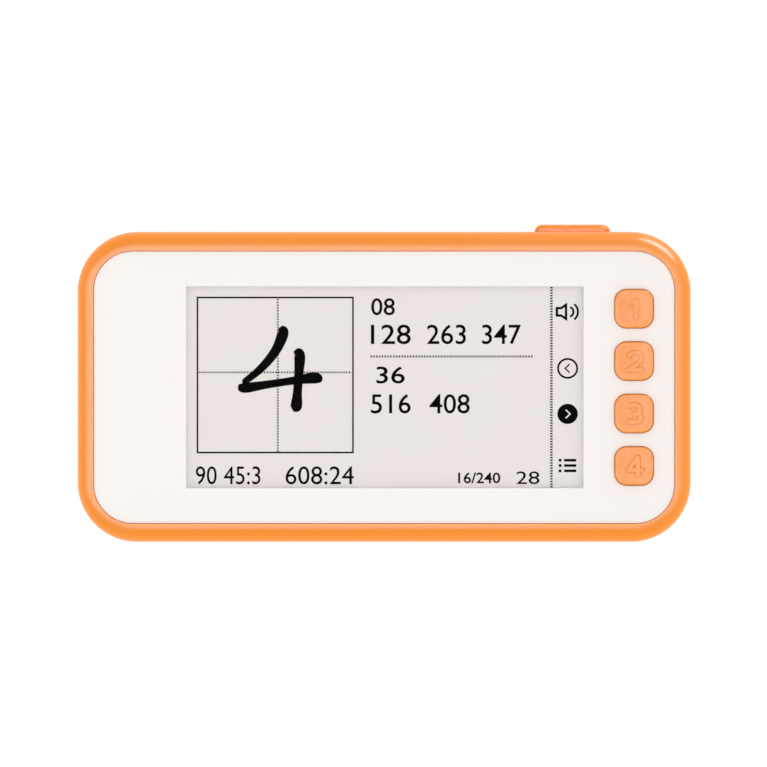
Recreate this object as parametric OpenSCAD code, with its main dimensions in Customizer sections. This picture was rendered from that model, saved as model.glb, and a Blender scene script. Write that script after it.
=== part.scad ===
// Handheld electronic dictionary with a small e-paper screen.
// A two-part orange housing holds a white face panel, a clear window over the screen,
// four keys beside it and a power slider on the top edge. The board, battery and
// speaker are inside.
// The part lies on its back: +Z points at the reader, +Y at the top edge, +X at the keys.
// The origin is the centre of the flat back face. All sizes are in millimetres.

/* [Housing] */
// Width of the housing
body_w = 93; // [91:0.5:110]
// Height of the housing, without the power slider
body_h = 47; // [46:0.5:60]
// Thickness, from the back face to the crest of the rim
body_t = 12; // [11.6:0.1:15]
// Radius of the four corners, seen from the front
corner_r = 9; // [7.5:0.1:11]
// Rounding of the front edge
front_edge_r = 3; // [1:0.1:3.4]
// Rounding of the back edge
back_edge_r = 3; // [1:0.1:3.2]
// Thickness of the side walls
wall = 1.8; // [1.5:0.1:2]
// Thickness of the rear cover's floor
floor_t = 1.6; // [1.2:0.1:1.8]
// Height of the lip that the rear cover puts inside the front frame
lip_h = 1; // [0.6:0.1:1.2]
// Thickness of that lip
lip_t = 0.8; // [0.6:0.05:0.9]
// Rounding of both shells along the seam
seam_r = 0.2; // [0.1:0.05:0.4]

/* [Face panel] */
// Width of the rim beside the panel, left and right
rim_x = 2.4; // [2.2:0.05:3]
// Width of the rim above and below the panel
rim_y = 2.8; // [2.4:0.05:3.1]
// How much smaller the panel's corner radius is than the housing's
rim_corner = 3; // [2.5:0.1:3.5]
// Thickness of the panel
panel_t = 1.4; // [1.2:0.05:1.6]
// How far the panel lies below the rim's crest
panel_recess = 0.25; // [0.1:0.05:0.5]
// Rounding of the panel's front edge
panel_edge_r = 0.1; // [0.05:0.05:0.5]
// Gap round the panel in the rim
panel_gap = 0.05; // [0.05:0.01:0.15]
// Width of the ledge that the panel is taped to
ledge_w = 1.4; // [1:0.1:1.5]
// Thickness of that ledge
ledge_t = 1.2; // [0.8:0.1:1.25]
// Thickness of the tape on the ledge
tape_t = 0.15; // [0.1:0.01:0.25]

/* [Screen] */
// Distance from the housing's left side to the window, which shows the picture area
window_inset_x = 16.5; // [15:0.1:20]
// Distance from the housing's upper and lower sides to the window
window_inset_y = 8.2; // [7.4:0.05:9]
// Distance from the window to the keys
window_key_gap = 4.75; // [4.1:0.05:8]
// Thickness of the clear window, which lies flush with the panel
window_t = 0.6; // [0.5:0.05:0.9]
// Thickness of the window's hidden flange
lens_flange_t = 0.3; // [0.2:0.05:0.35]
// Width of that flange beyond the window
lens_flange_w = 1.1; // [0.8:0.05:1.3]
// Thickness of the sealing tape between window and screen
seal_t = 0.1; // [0.05:0.01:0.2]
// Thickness of the screen's glass
glass_t = 0.55; // [0.4:0.05:0.7]
// Glass to the left of the window, which carries the screen's driver
glass_margin_left = 9.25; // [8.6:0.05:9.8]
// Glass to the right of the window
glass_margin_right = 2.35; // [1.8:0.05:2.6]
// Glass above and below the window
glass_margin_y = 2.8; // [2.4:0.05:2.95]
// Thickness of the picture film on the glass
film_t = 0.45; // [0.3:0.05:0.5]
// How far the picture film reaches beyond the window
film_margin = 1.4; // [1.2:0.05:1.6]
// Thickness of the foam cushion behind the glass
cushion_t = 2.4; // [2.2:0.05:2.6]

/* [Keys] */
// Gap between two keys, whose column is about as high as the window
key_space = 2.1; // [1.6:0.05:2.4]
// How far the column of keys stops short of the window's top and bottom
key_column_inset = 0.45; // [0:0.05:1]
// Corner radius of a key
key_corner_r = 1.8; // [1:0.1:2.4]
// Distance from the housing's right side to the middle of the keys
key_inset = 8.6; // [8.2:0.05:9.6]
// How far a key stands above the panel
key_rise = 0.6; // [0.4:0.05:1]
// Rounding of a key's top edge
key_edge_r = 0.25; // [0.2:0.05:0.6]
// Depth of the dish in a key's top
key_dish = 0.2; // [0.1:0.05:0.3]
// Diameter of that dish
key_dish_d = 4.8; // [4:0.1:4.9]
// Gap round a key in the panel
key_gap = 0.1; // [0.08:0.01:0.2]
// Width of the lip that keeps a key behind the panel
key_flange_w = 0.7; // [0.5:0.05:0.8]
// Thickness of that lip
key_flange_t = 0.6; // [0.4:0.05:0.7]
// Travel of a key
key_travel = 0.25; // [0.15:0.01:0.3]
// Side of a key switch
tact_size = 5.1; // [4.6:0.1:5.4]
// Height of a key switch without its plunger
tact_h = 1.55; // [1.5:0.01:1.6]

/* [Power slider] */
// Length of the slider's grip
knob_len = 11.5; // [9:0.1:13]
// Width of the grip, front to back
knob_w = 3.5; // [2.8:0.1:3.8]
// How far the grip stands out of the housing
knob_rise = 1.1; // [0.8:0.05:1.6]
// Distance from the housing's right side to the middle of the grip
knob_inset = 17.9; // [16:0.1:22]
// Travel of the slider
knob_travel = 2; // [1.2:0.1:2.4]
// Number of finger grooves across the grip
groove_count = 4; // [2:1:4]
// Distance from one groove to the next
groove_pitch = 2; // [1.8:0.1:2.2]
// Depth of a groove
groove_depth = 0.1; // [0.05:0.01:0.15]
// Gap round the grip in its opening
knob_gap = 0.15; // [0.1:0.01:0.25]

/* [Board] */
// Thickness of the circuit board
board_t = 1; // [0.8:0.1:1.2]
// Gap between the board and the side walls
board_gap = 0.95; // [0.9:0.05:1.2]
// Distance from the housing's left and right sides to the board's screws
board_screw_inset_x = 28.5; // [27.5:0.5:32]
// Distance of the board's screws from the upper and lower walls
board_screw_inset = 2.8; // [2.6:0.1:3]

/* [Charging port] */
// Width of the port's metal shell
port_w = 8.94; // [8.8:0.01:9.1]
// Height of the port's metal shell
port_h = 3.26; // [3.16:0.01:3.4]
// Depth of the port's metal shell
port_d = 7.35; // [6.8:0.05:7.5]
// Thickness of the shell's sheet metal
port_sheet = 0.3; // [0.2:0.01:0.35]
// How far the port's middle lies right of the housing's middle
port_x = 0; // [-4:0.5:4]

/* [Battery] */
// Distance from the housing's left side to the battery
battery_inset_x = 12.5; // [11:0.5:20]
// Distance from the housing's upper side to the battery
battery_inset_y = 7.5; // [6:0.5:12]
// How far the battery reaches right of the housing's middle
battery_reach = 2; // [-4:0.5:2]
// Room between the battery and the board, for the board's parts
battery_headroom = 0.9; // [0.8:0.1:1.8]

/* [Speaker] */
// Diameter of the speaker
speaker_d = 20; // [18:0.5:21]
// Thickness of the pad between the speaker and the board
speaker_pad_t = 0.55; // [0.4:0.05:1.2]
// Middle of the speaker right of the housing's middle
speaker_x = 24; // [22:0.5:25]
// Middle of the speaker below the housing's middle
speaker_drop = 6; // [4:0.5:7]
// Diameter of one hole in the grille
grille_hole_d = 1.3; // [0.8:0.1:1.6]
// Distance between the grille's holes
grille_pitch = 2.6; // [2.2:0.1:2.8]

/* [Screws] */
// Diameter of a housing screw's thread
screw_d = 1.6; // [1.4:0.1:1.8]
// Length of a housing screw under its head
screw_len = 6; // [5:0.5:6.5]
// Diameter of a housing screw's head
screw_head_d = 3.2; // [2.8:0.1:3.4]
// Height of a housing screw's head
screw_head_h = 1.2; // [0.9:0.05:1.2]
// Diameter of a board screw's thread
board_screw_d = 1.4; // [1.2:0.1:1.5]

/* [Hidden] */
$fn = 64;

// Colours
orange = [0.98, 0.58, 0.22];
white = [0.98, 0.96, 0.94];
paper = [0.90, 0.875, 0.865];
clear = [0.85, 0.92, 0.95, 0.35];
dark = [0.12, 0.12, 0.13];
steel = [0.72, 0.73, 0.75];
gold = [0.85, 0.68, 0.32];
foam = [0.25, 0.25, 0.27];
board_green = [0.10, 0.38, 0.24];

// How far a cut reaches past the face it opens
cut = 1;
// How deep a joined feature sinks into what carries it
bond = 0.15;
// Running gap of a shaft or pin in its hole, on the radius
run_gap = 0.05;
// Gap between parts that fit together without moving
fit_gap = 0.06;
// Gap between the posts and the glass above them
post_glass_gap = 0.1;
// Gap round the screen's glass and its flex in the panel's back
glass_gap = 0.3;

// Heights of the stack behind the face, from the front to the board
panel_front_z = body_t - panel_recess;
panel_back_z = panel_front_z - panel_t;
ledge_top_z = panel_back_z - tape_t;
ledge_bottom_z = ledge_top_z - ledge_t;
lens_back_z = panel_front_z - window_t;
film_top_z = lens_back_z - seal_t;
film_back_z = film_top_z - film_t;
glass_back_z = film_back_z - glass_t;
board_front_z = glass_back_z - cushion_t;
board_back_z = board_front_z - board_t;
// Tops of the posts and bosses, just clear of the glass and no higher than the ledge
post_top_z = min(glass_back_z - post_glass_gap, ledge_top_z);

// Charging port and seam: the seam runs through the middle of the port
port_z = board_back_z - port_h / 2;
split_z = port_z;
port_recess = 0.3;
port_gap = 0.15;
port_battery_gap = 1.85;
port_corner_r = 1.28;
port_front_y = -body_h / 2 + port_recess;
port_plug_depth = 5;
tongue_w = 6.7;
tongue_t = 0.7;
contact_count = 12;
contact_pitch = 0.5;
contact_w = 0.26;
contact_t = 0.05;
contact_len = 3.4;

// Inside of the housing
inner_w = body_w - 2 * wall;
inner_h = body_h - 2 * wall;
inner_r = corner_r - wall;
// The panel's pocket and the opening inside its ledge
pocket_w = body_w - 2 * rim_x;
pocket_h = body_h - 2 * rim_y;
pocket_r = corner_r - rim_corner;
ledge_in_w = pocket_w - 2 * ledge_w;
ledge_in_h = pocket_h - 2 * ledge_w;
ledge_in_r = pocket_r - ledge_w;
// The rear cover's lip, whose inner face continues the wall's
lip_out = 2 * (wall - lip_t);
lip_gap = 0.08;

// Housing screws, on the corners' diagonals and clear of the walls
boss_r = 1.9;
boss_wall_gap = 0.9;
cover_boss_r = boss_r + 0.5;
cover_boss_h = 1.4;
cover_boss_z = floor_t + cover_boss_h;
boss_inset = corner_r - (inner_r - boss_r - boss_wall_gap) / sqrt(2);
boss_x = body_w / 2 - boss_inset;
boss_y = body_h / 2 - boss_inset;
boss_seat_gap = 0.05;
rib_t = 1.2;
boss_rib_z = split_z + lip_h + 0.2;
screw_hole_gap = 0.15;
screw_tip_gap = 0.5;
screw_seat_z = floor_t;
cross_w = 0.4;
cross_len = 1.7;
cross_depth = 0.6;

// Board screws
board_screw_x = body_w / 2 - board_screw_inset_x;
board_screw_y = inner_h / 2 - board_screw_inset;
board_screw_grip = 1.1;
board_screw_head_d = 2.8;
board_screw_head_h = 0.8;
post_r = 1.5;
board_w = inner_w - 2 * board_gap;
board_h = inner_h - 2 * board_gap;
board_corner_r = 1;
board_notch_gap = 0.4;

// Keys and their column
key_count = 4;
key_x = body_w / 2 - key_inset;
window_h = body_h - 2 * window_inset_y;
key_size = (window_h - 2 * key_column_inset - (key_count - 1) * key_space) / key_count;
key_pitch = key_size + key_space;

// Window and screen
window_left = -body_w / 2 + window_inset_x;
window_right = key_x - key_size / 2 - window_key_gap;
window_w = window_right - window_left;
window_x = (window_left + window_right) / 2;
lens_gap = 0.05;
lens_w = window_w + 2 * lens_flange_w;
lens_h = window_h + 2 * lens_flange_w;
window_corner_r = 0.15;
lens_corner_r = 1;
seal_inset = 0.3;
glass_left = window_left - glass_margin_left;
glass_w = window_right + glass_margin_right - glass_left;
glass_h = window_h + 2 * glass_margin_y;
glass_x = glass_left + glass_w / 2;
film_w = window_w + 2 * film_margin;
film_h = window_h + 2 * film_margin;
driver_w = 1.3;
driver_len = 14;
driver_t = 0.3;
driver_inset = 5.4;
driver_x = glass_left + driver_inset;

// Flex tail: bonded on the glass, folded under it and into its connector on the board
flex_w = 12.5;
flex_t = 0.12;
flex_bond = 1.6;
flex_overhang = 0.3;
flex_entry = 1.5;
connector_w = 4;
connector_len = 16;
connector_h = 1.2;
connector_inset = 1.7;
connector_x = glass_left + connector_inset + connector_w / 2;
connector_slot_z = board_front_z + connector_h / 2;
flex_upper_z = film_back_z + flex_t;
flex_lower_z = connector_slot_z - flex_t / 2;
flex_bend_r = (flex_upper_z - flex_lower_z) / 2;
flex_bend_x = glass_left - flex_overhang;

// Cushion behind the glass, clear of the connector
cushion_inset = 1.2;
cushion_w = window_w - 2 * cushion_inset;
cushion_h = window_h - 2 * cushion_inset;

// Keys and their switches
key_float = 0.05;
key_top_z = panel_front_z + key_rise;
key_flange_top_z = panel_back_z - key_float;
key_flange_z = key_flange_top_z - key_flange_t;
key_flange_r = key_corner_r + key_flange_w / 2;
tact_top_z = board_front_z + tact_h;
tact_lid_t = 0.25;
tact_cavity_r = 1.9;
tact_corner_r = 0.4;
plunger_r = 1.15;
plunger_rim_r = 1.75;
plunger_rim_t = 0.3;
dome_r = 1.6;
dome_flat_h = 0.3;
dome_h = key_travel + dome_flat_h;
dome_t = 0.1;

// Power slider, whose grip stands at the right end of its opening
knob_x = body_w / 2 - knob_inset;
slide_body_h = 3.3;
knob_z = board_back_z - slide_body_h / 2;
knob_top_y = body_h / 2 + knob_rise;
knob_end_r = 1.1;
knob_edge_r = 0.7;
knob_corner_r = knob_w / 2 - 0.15;
groove_r = 2.4;
knob_flange_t = 0.6;
knob_flange_over = 0.3;
knob_flange_w = knob_w + 2 * (knob_gap + knob_flange_over);
knob_flange_len = knob_len + 2 * (knob_travel + knob_gap + knob_flange_over);
knob_flange_y = inner_h / 2 - knob_gap;
knob_slot_len = knob_len + knob_travel + 2 * knob_gap;
knob_slot_x = knob_x - knob_travel / 2;
slide_body_w = 8.6;
slide_body_d = 3.6;
slide_body_gap = 0.15;
slide_body_y = knob_flange_y - knob_flange_t - slide_body_gap;
lever_w = 1.4;
lever_depth = 0.9;
lever_reach = 1.3;

// Battery, left of the middle and above the charging port
battery_tape_t = 0.15;
battery_z = floor_t + battery_tape_t;
battery_t = board_back_z - battery_headroom - battery_z;
battery_left = -body_w / 2 + battery_inset_x;
battery_right = battery_reach;
battery_w = battery_right - battery_left;
battery_x = (battery_left + battery_right) / 2;
battery_top = body_h / 2 - battery_inset_y;
battery_bottom = port_front_y + port_d + port_battery_gap;
battery_h = battery_top - battery_bottom;
battery_y = (battery_top + battery_bottom) / 2;
battery_edge_r = 1.2;
battery_rib_gap = 0.3;
battery_rib_t = 1;
battery_rib_len = 12;
battery_rib_h = 2;

// Battery plug and its socket on the board
plug_w = 5;
plug_h = 4.4;
plug_t = 1.6;
socket_wall = 0.6;
socket_reach = 6.5;
socket_drop = 2.5;
socket_x = battery_right + socket_reach;
socket_y = battery_top - socket_drop;
socket_w = 4.5;
socket_t = plug_t + 2 * socket_wall;
plug_proud = 2;
plug_x = socket_x - plug_proud;
plug_z = board_back_z - socket_wall - plug_t / 2;
lead_r = 0.45;
lead_y = 0.8;

// Speaker, which faces the grille in the rear cover
speaker_y = -speaker_drop;
speaker_gasket_t = 0.5;
speaker_gasket_w = 1.6;
speaker_z = floor_t + speaker_gasket_t;
speaker_top_z = board_back_z - speaker_pad_t;
speaker_h = speaker_top_z - speaker_z;
speaker_wall = 1;
speaker_plate_t = 0.4;
speaker_skirt_h = speaker_h * 0.45;
speaker_magnet_r = 6;
speaker_ring_gap = 0.15;
speaker_ring_t = 0.9;
speaker_ring_h = 2;
speaker_notch_gap = 0.3;
speaker_mesh_t = 0.12;
grille_rings = 2;

// Parts on the board's back, laid out from the battery's right end and its socket.
// A part's size is its width, height and thickness.
cap_size = [1, 1.6, 0.8];
cap_step = 2;
cap_row_count = 5;
cap_row_reach = 3;
cap_row_drop = 4.6;
cap_row_x = battery_right + cap_row_reach;
cap_row_y = socket_y - cap_row_drop;
cap_column_count = 4;
cap_column_reach = 13;
cap_column_drop = 1.9;
cap_column_x = battery_right + cap_column_reach;
cap_column_y = cap_row_y - cap_column_drop;
processor_size = [7, 7, 0.9];
processor_reach = 7;
processor_drop = 5.4;
processor_x = battery_right + processor_reach;
processor_y = cap_row_y - processor_drop;
memory_size = [5.2, 5.3, 1.4];
memory_reach = 17.5;
memory_x = battery_right + memory_reach;
memory_y = cap_row_y;
crystal_size = [3.2, 1.5, 0.8];
crystal_rise = 5;
crystal_y = memory_y + crystal_rise;
coil_size = [3, 3, 1];
coil_reach = 7.5;
coil_rise = 2;
coil_x = memory_x + coil_reach;
coil_y = memory_y + coil_rise;
audio_size = [4.9, 3.9, 1.4];
audio_reach = 7.5;
audio_drop = 6;
audio_x = battery_right + audio_reach;
audio_y = speaker_y - audio_drop;

// Routes of the inner leads, as points across, up and above the start
battery_lead_route = [[0, 0, 4.2], [0.8, 0, 4.2], [1.6, 0, 4.4], [2.6, 0, 4.9]];
battery_lead_end = 0.8;
speaker_lead_y = 0.8;
speaker_lead_r = 0.35;
speaker_lead_rise = [[-0.1, 0], [-0.9, 0], [-1.8, 0.5], [-2.7, 1.4], [-3.6, 2.4]];
speaker_lead_landing = [-4.6, -5.8];

function plunger_bottom_z() = tact_top_z - tact_lid_t - key_float - plunger_rim_t;
function tact_floor_z() = plunger_bottom_z() - key_float - dome_h;
function key_y(i) = ((key_count - 1) / 2 - i) * key_pitch;

// ---- Shapes ----

// A quarter of a disc in the first quadrant
module quarter_disc(r) {
    intersection() {
        circle(r);
        square(r);
    }
}

// A rectangle with rounded corners, centred on the origin
module rounded_outline(w, h, r) {
    square([w - 2 * r, h], center = true);
    for (side = [-1, 1]) {
        translate([side * (w - r) / 2, 0]) square([r, h - 2 * r], center = true);
    }
    each_corner(w / 2 - r, h / 2 - r) quarter_disc(r);
}

// Copies of the children in the four corners, each turned outwards
module each_corner(x, y) {
    for (sx = [0, 1], sy = [0, 1]) {
        mirror([sx, 0, 0]) mirror([0, sy, 0]) translate([x, y, 0]) children();
    }
}

// A flat slab with upright rounded corners, from height z0 to z1
module slab(w, h, r, z0, z1) {
    translate([0, 0, z0]) linear_extrude(z1 - z0) rounded_outline(w, h, r);
}

// Half of a soft slab's section: out to `reach`, from z0 to z1, rounded by e0 below and e1 above
module half_section(reach, z0, z1, e0, e1) {
    translate([0, z0 + e0]) square([reach, z1 - z0 - e0 - e1]);
    if (e0 > 0) {
        translate([0, z0]) square([reach - e0, e0]);
        translate([reach - e0, z0 + e0]) mirror([0, 1]) quarter_disc(e0);
    }
    if (e1 > 0) {
        translate([0, z1 - e1]) square([reach - e1, e1]);
        translate([reach - e1, z1 - e1]) quarter_disc(e1);
    }
}

// A slab with upright rounded corners whose lower edge is rounded by e0 and upper edge by e1
module soft_slab(w, h, r, z0, z1, e0, e1) {
    for (turn = [0, 180]) {
        rotate([90, 0, 90 + turn]) translate([0, 0, -(w / 2 - r)]) linear_extrude(w - 2 * r)
            half_section(h / 2, z0, z1, e0, e1);
        rotate([90, 0, turn]) translate([w / 2 - r, 0, -(h / 2 - r)]) linear_extrude(h - 2 * r)
            half_section(r, z0, z1, e0, e1);
    }
    each_corner(w / 2 - r, h / 2 - r) rotate_extrude(angle = 90)
        half_section(r, z0, z1, e0, e1);
}

// A flat ring between two rounded rectangles
module ring_slab(w, h, r, w_in, h_in, r_in, z0, z1) {
    difference() {
        slab(w, h, r, z0, z1);
        slab(w_in, h_in, r_in, z0 - cut, z1 + cut);
    }
}

// An upright round rod from height z0 to z1
module rod(r, z0, z1) {
    translate([0, 0, z0]) cylinder(h = z1 - z0, r = r);
}

// A part that hangs from the board's back, with its middle at x, y
module chip(x, y, size) {
    translate([x - size.x / 2, y - size.y / 2, board_back_z - size.z]) cube(size);
}

// A screw whose head's underside lies at height z, pointing up
module screw(d, len, head_d, head_h, z) {
    difference() {
        union() {
            rod(head_d / 2, z - head_h, z);
            rod(d / 2, z - bond, z + len);
        }
        for (turn = [0, 90]) {
            rotate(turn) translate([-cross_len / 2, -cross_w / 2, z - head_h - cut])
                cube([cross_len, cross_w, cut + cross_depth]);
        }
    }
}

// A round lead swept along points, as one closed tube
function unit(v) = v / norm(v);
function lead_tangent(p, i) = unit(p[min(i + 1, len(p) - 1)] - p[max(i - 1, 0)]);
function lead_ring(c, t, r, sides) =
    let (across = unit(cross(t, [0, 0, 1])), up = cross(across, t))
    [for (k = [0 : sides - 1]) c + r * (cos(360 * k / sides) * across + sin(360 * k / sides) * up)];
module lead(p, r, sides = 10) {
    last = len(p) - 1;
    points = [for (i = [0 : last]) each lead_ring(p[i], lead_tangent(p, i), r, sides)];
    walls = [for (i = [0 : last - 1], k = [0 : sides - 1], upper = [0, 1])
        let (a = i * sides + k, b = i * sides + (k + 1) % sides)
        upper == 0 ? [a, b, b + sides] : [a, b + sides, a + sides]];
    near = [for (k = [sides - 1 : -1 : 0]) k];
    far = [for (k = [0 : sides - 1]) last * sides + k];
    polyhedron(points, concat([near], walls, [far]));
}

// ---- Openings that both shells share ----

// The charging port's opening, through the lower wall and the lip behind it
module port_opening() {
    depth = wall + cut;
    translate([port_x, -body_h / 2 - cut, port_z]) rotate([-90, 0, 0])
        linear_extrude(depth + cut)
            rounded_outline(port_w + 2 * port_gap, port_h + 2 * port_gap, port_corner_r + port_gap);
}

// The power slider's opening, through the upper wall and the lip behind it
module knob_opening() {
    width = knob_w + 2 * knob_gap;
    translate([knob_slot_x, body_h / 2 + cut, knob_z]) rotate([90, 0, 0])
        linear_extrude(wall + 2 * cut)
            rounded_outline(knob_slot_len, width, knob_corner_r + knob_gap);
}

// ---- Housing ----

module front_frame() {
    color(orange) difference() {
        union() {
            difference() {
                soft_slab(body_w, body_h, corner_r, split_z, body_t, seam_r, front_edge_r);
                slab(inner_w, inner_h, inner_r, split_z - cut, ledge_bottom_z);
                slab(ledge_in_w, ledge_in_h, ledge_in_r, ledge_bottom_z - cut, body_t + cut);
                slab(pocket_w, pocket_h, pocket_r, ledge_top_z, body_t + cut);
                slab(body_w - lip_out + 2 * lip_gap, body_h - lip_out + 2 * lip_gap,
                    corner_r - lip_out / 2 + lip_gap, split_z - cut, split_z + lip_h + lip_gap);
            }
            each_corner(boss_x, boss_y) frame_boss();
            each_corner(board_screw_x, board_screw_y) board_post();
        }
        each_corner(boss_x, boss_y)
            rod(screw_d / 2 + run_gap, cover_boss_z - cut, screw_seat_z + screw_len + screw_tip_gap);
        each_corner(board_screw_x, board_screw_y)
            rod(board_screw_d / 2 + run_gap, board_front_z - cut,
                board_front_z + board_screw_grip + screw_tip_gap);
        port_opening();
        knob_opening();
    }
}

// A screw boss, tied to both walls of its corner by ribs above the rear cover's lip
module frame_boss() {
    reach = boss_inset - wall + bond;
    rod(boss_r, cover_boss_z + boss_seat_gap, post_top_z);
    translate([0, -rib_t / 2, boss_rib_z]) cube([reach, rib_t, post_top_z - boss_rib_z]);
    translate([-rib_t / 2, 0, boss_rib_z]) cube([rib_t, reach, post_top_z - boss_rib_z]);
}

// A post that the board is screwed to, tied to the wall by a rib
module board_post() {
    rod(post_r, board_front_z, post_top_z);
    translate([-rib_t / 2, 0, board_front_z])
        cube([rib_t, board_screw_inset + bond, post_top_z - board_front_z]);
}

module rear_cover() {
    color(orange) difference() {
        union() {
            difference() {
                union() {
                    soft_slab(body_w, body_h, corner_r, 0, split_z, back_edge_r, seam_r);
                    slab(body_w - lip_out, body_h - lip_out, corner_r - lip_out / 2,
                        split_z - cut, split_z + lip_h);
                }
                slab(inner_w, inner_h, inner_r, floor_t, split_z + lip_h + cut);
            }
            each_corner(boss_x, boss_y) rod(cover_boss_r, floor_t - bond, cover_boss_z);
            speaker_ring();
            battery_ribs();
        }
        each_corner(boss_x, boss_y) {
            rod(screw_head_d / 2 + screw_hole_gap, -cut, screw_seat_z);
            rod(screw_d / 2 + screw_hole_gap, 0, cover_boss_z + cut);
        }
        grille();
        port_opening();
        knob_opening();
    }
}

// The round wall that holds the speaker, notched for its leads
module speaker_ring() {
    inner = speaker_d / 2 + speaker_ring_gap;
    notch = 2 * (speaker_lead_y + speaker_lead_r + speaker_notch_gap);
    at_speaker() difference() {
        rod(inner + speaker_ring_t, floor_t - bond, floor_t + speaker_ring_h);
        rod(inner, floor_t - cut, floor_t + speaker_ring_h + cut);
        translate([-inner - speaker_ring_t - cut, -notch / 2, floor_t])
            cube([speaker_ring_t + 2 * cut, notch, speaker_ring_h + cut]);
    }
}

// Low ribs at the middle of the battery's four sides
module battery_ribs() {
    for (side = [-1, 1]) {
        translate([battery_x + side * (battery_w / 2 + battery_rib_gap + battery_rib_t / 2), battery_y,
            floor_t - bond + (battery_rib_h + bond) / 2])
            cube([battery_rib_t, battery_rib_len, battery_rib_h + bond], center = true);
        translate([battery_x, battery_y + side * (battery_h / 2 + battery_rib_gap + battery_rib_t / 2),
            floor_t - bond + (battery_rib_h + bond) / 2])
            cube([battery_rib_len, battery_rib_t, battery_rib_h + bond], center = true);
    }
}

// The grille: rings of holes on a hexagonal grid
module grille() {
    at_speaker() {
        for (row = [-grille_rings : grille_rings], column = [-grille_rings : grille_rings]) {
            if (abs(row + column) <= grille_rings) {
                translate([grille_pitch * (column + row / 2), grille_pitch * row * sin(60), 0])
                    rod(grille_hole_d / 2, -cut, floor_t + cut);
            }
        }
    }
}

// ---- Face ----

module face_panel() {
    color(white) difference() {
        soft_slab(pocket_w - 2 * panel_gap, pocket_h - 2 * panel_gap, pocket_r - panel_gap,
            panel_back_z, panel_front_z, 0, panel_edge_r);
        translate([window_x, 0, 0]) {
            slab(window_w, window_h, window_corner_r, panel_back_z - cut, panel_front_z + cut);
            slab(lens_w + 2 * lens_gap, lens_h + 2 * lens_gap, lens_corner_r + lens_gap,
                panel_back_z - cut, lens_back_z + lens_flange_t);
        }
        screen_pocket();
        for (i = [0 : key_count - 1]) {
            translate([key_x, key_y(i), 0])
                slab(key_size + 2 * key_gap, key_size + 2 * key_gap, key_corner_r + key_gap,
                    panel_back_z - cut, panel_front_z + cut);
        }
    }
}

// The pocket in the panel's back that takes the screen's glass and the bend of its flex
module screen_pocket() {
    bend_room = glass_left - flex_bend_x + flex_bend_r + glass_gap;
    translate([glass_x, 0, 0])
        slab(glass_w + 2 * glass_gap, glass_h + 2 * glass_gap, window_corner_r + glass_gap,
            panel_back_z - cut, lens_back_z);
    translate([glass_left - bend_room, -flex_w / 2 - glass_gap, panel_back_z - cut])
        cube([bend_room, flex_w + 2 * glass_gap, lens_back_z - panel_back_z + cut]);
}

module panel_tape() {
    color(dark) ring_slab(pocket_w - 2 * panel_gap, pocket_h - 2 * panel_gap, pocket_r - panel_gap,
        ledge_in_w, ledge_in_h, ledge_in_r, ledge_top_z, panel_back_z);
}

module window_lens() {
    color(clear) translate([window_x, 0, 0]) {
        slab(window_w - 2 * lens_gap, window_h - 2 * lens_gap, window_corner_r,
            lens_back_z, panel_front_z);
        slab(lens_w, lens_h, lens_corner_r, lens_back_z, lens_back_z + lens_flange_t);
    }
}

// ---- Screen ----

module display_seal() {
    color(dark) translate([window_x, 0, 0])
        ring_slab(lens_w, lens_h, lens_corner_r, window_w + 2 * seal_inset, window_h + 2 * seal_inset,
            window_corner_r, film_top_z, lens_back_z);
}

module display_film() {
    color(paper) translate([window_x, 0, 0])
        slab(film_w, film_h, window_corner_r, film_back_z, film_top_z);
}

module display_glass() {
    color([0.75, 0.82, 0.80]) translate([glass_x, 0, 0])
        slab(glass_w, glass_h, window_corner_r, glass_back_z, film_back_z);
}

module display_driver() {
    color(dark) translate([driver_x - driver_w / 2, -driver_len / 2, film_back_z])
        cube([driver_w, driver_len, driver_t]);
}

module display_flex() {
    entry = connector_x - connector_w / 2 + flex_entry;
    color([0.85, 0.5, 0.15]) translate([0, flex_w / 2, 0]) rotate([90, 0, 0]) linear_extrude(flex_w) {
        translate([flex_bend_x, film_back_z]) square([flex_overhang + flex_bond, flex_t]);
        translate([flex_bend_x, flex_lower_z]) square([entry - flex_bend_x, flex_t]);
        translate([flex_bend_x, flex_lower_z + flex_bend_r]) difference() {
            circle(flex_bend_r);
            circle(flex_bend_r - flex_t);
            translate([0, -2 * flex_bend_r]) square(4 * flex_bend_r);
        }
    }
}

module flex_connector() {
    slot_depth = flex_entry + run_gap;
    color(white) difference() {
        translate([connector_x - connector_w / 2, -connector_len / 2, board_front_z])
            cube([connector_w, connector_len, connector_h]);
        translate([connector_x - connector_w / 2 - cut, -flex_w / 2 - run_gap,
            connector_slot_z - flex_t / 2 - run_gap])
            cube([slot_depth + cut, flex_w + 2 * run_gap, flex_t + 2 * run_gap]);
    }
}

module display_cushion() {
    color(foam) translate([window_x, 0, 0])
        slab(cushion_w, cushion_h, lens_corner_r, board_front_z, glass_back_z);
}

// ---- Board ----

module main_board() {
    notch_x = boss_x - boss_r - board_notch_gap;
    notch_y = boss_y - boss_r - board_notch_gap;
    color(board_green) difference() {
        slab(board_w, board_h, board_corner_r, board_back_z, board_front_z);
        each_corner(notch_x, notch_y) translate([0, 0, board_back_z - cut])
            cube([board_w, board_h, board_t + 2 * cut]);
        each_corner(board_screw_x, board_screw_y)
            rod(board_screw_d / 2 + screw_hole_gap, board_back_z - cut, board_front_z + cut);
    }
}

module processor_chip() {
    color(dark) chip(processor_x, processor_y, processor_size);
}

module memory_chip() {
    color(dark) chip(memory_x, memory_y, memory_size);
}

module audio_chip() {
    color(dark) chip(audio_x, audio_y, audio_size);
}

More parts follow.
